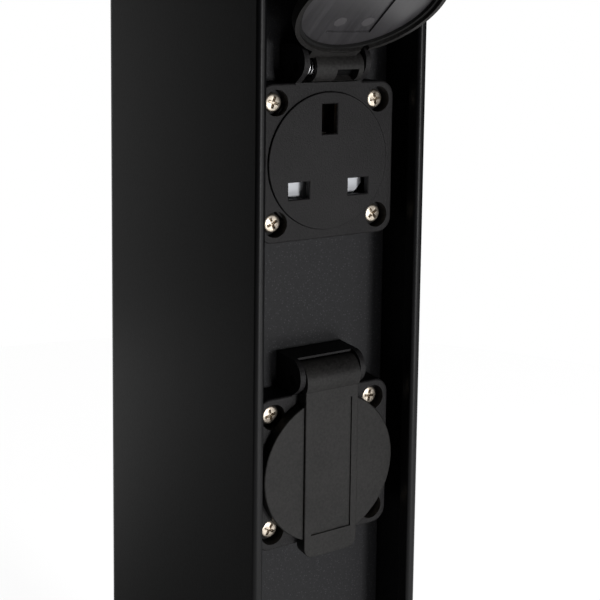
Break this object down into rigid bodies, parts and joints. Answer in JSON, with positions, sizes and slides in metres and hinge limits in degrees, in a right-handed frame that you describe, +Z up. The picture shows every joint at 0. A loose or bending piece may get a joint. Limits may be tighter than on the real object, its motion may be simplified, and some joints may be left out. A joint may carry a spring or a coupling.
{
  "type": "garden socket post",
  "caption": "Free-standing garden power post: a narrow dark extrusion with an open front channel, sockets with sprung hinged lids, cap, base plate and wiring inside.",
  "frame": {"origin": "middle of the underside of the base plate, where the post meets the ground", "axes": "+Z up the post, +X to the right seen from the front, +Y from the open channel towards the back"},
  "size_m": [0.1, 0.1836, 0.3985],
  "materials": {
    "powder_coat": "satin black powder coat",
    "textured_coat": "fine sand-texture powder coat",
    "cap_plastic": "matt moulded",
    "socket_plastic": "fine spark-eroded ABS",
    "lid_plastic": "matt moulded polyamide",
    "body_plastic": "moulded urea",
    "shutter_plastic": "white moulded acetal",
    "gland_plastic": "moulded polyamide",
    "pale_plastic": "moulded polyamide",
    "seal_rubber": "EPDM",
    "nickel": "nickel-plated steel",
    "zinc_steel": "zinc-plated sheet",
    "spring_steel": "bright spring wire",
    "pin_steel": "blackened steel",
    "brass": "bright brass",
    "tin_copper": "tinned copper",
    "line_insulation": "brown insulation",
    "neutral_insulation": "blue insulation",
    "earth_insulation": "green and yellow insulation"
  },
  "bodies": {
    "post": {"post_shell": "powder_coat", "socket_panel": "textured_coat", "panel_screws": "nickel", "top_cap": "cap_plastic", "cap_screws": "nickel", "base_plate": "powder_coat", "base_gasket": "seal_rubber", "base_screws": "nickel", "gland_body": "gland_plastic", "gland_seal": "seal_rubber", "gland_nut": "gland_plastic", "terminal_bracket": "zinc_steel", "bracket_screws": "nickel", "terminal_block": "pale_plastic", "block_clamps": "brass", "block_screws": "nickel", "block_fixings": "nickel", "earth_stud": "brass", "earth_lug": "tin_copper", "earth_nut": "brass", "neutral_wires": "neutral_insulation", "earth_wires": "earth_insulation", "line_wires": "line_insulation", "upper_flange": "socket_plastic", "upper_flange_gasket": "seal_rubber", "upper_flange_screws": "nickel", "upper_socket_face": "socket_plastic", "upper_rear_body": "body_plastic", "upper_face_screws": "nickel", "upper_shutter_spring": "spring_steel", "upper_line_contact": "brass", "upper_neutral_contact": "brass", "upper_earth_contact": "brass", "upper_terminal_screws": "nickel", "upper_lid_spring": "spring_steel", "upper_hinge_pin": "pin_steel", "lower_flange": "socket_plastic", "lower_flange_gasket": "seal_rubber", "lower_flange_screws": "nickel", "lower_socket_face": "socket_plastic", "lower_rear_body": "body_plastic", "lower_face_screws": "nickel", "lower_shutter_spring": "spring_steel", "lower_line_contact": "brass", "lower_neutral_contact": "brass", "lower_earth_contact": "brass", "lower_terminal_screws": "nickel", "lower_lid_spring": "spring_steel", "lower_hinge_pin": "pin_steel"},
    "upper_cover": {"upper_lid": "lid_plastic", "upper_lid_seal": "seal_rubber"},
    "upper_slider": {"upper_shutter": "shutter_plastic"},
    "lower_cover": {"lower_lid": "lid_plastic", "lower_lid_seal": "seal_rubber"},
    "lower_slider": {"lower_shutter": "shutter_plastic"}
  },
  "joints": [
    {"name": "upper_lid_hinge", "type": "hinge", "parent": "post", "child": "upper_cover", "pos_m": [0, -0.0542, 0.326], "axis": [-1, 0, 0], "range_deg": [-127, 1], "stiffness_Nm_per_rad": 0.01, "springref_deg": -138.46, "deforming": ["upper_lid_spring"]},
    {"name": "upper_shutter_slide", "type": "slide", "parent": "post", "child": "upper_slider", "axis": [0, 0, -1], "range_m": [0, 0.0058], "stiffness_N_per_m": 150, "springref_m": -0.002, "deforming": ["upper_shutter_spring"]},
    {"name": "lower_lid_hinge", "type": "hinge", "parent": "post", "child": "lower_cover", "pos_m": [0, -0.0542, 0.226], "axis": [-1, 0, 0], "range_deg": [0, 128], "stiffness_Nm_per_rad": 0.01, "springref_deg": -11.46, "deforming": ["lower_lid_spring"]},
    {"name": "lower_shutter_slide", "type": "slide", "parent": "post", "child": "lower_slider", "axis": [0, 0, -1], "range_m": [0, 0.0058], "stiffness_N_per_m": 150, "springref_m": -0.002, "deforming": ["lower_shutter_spring"]}
  ]
}
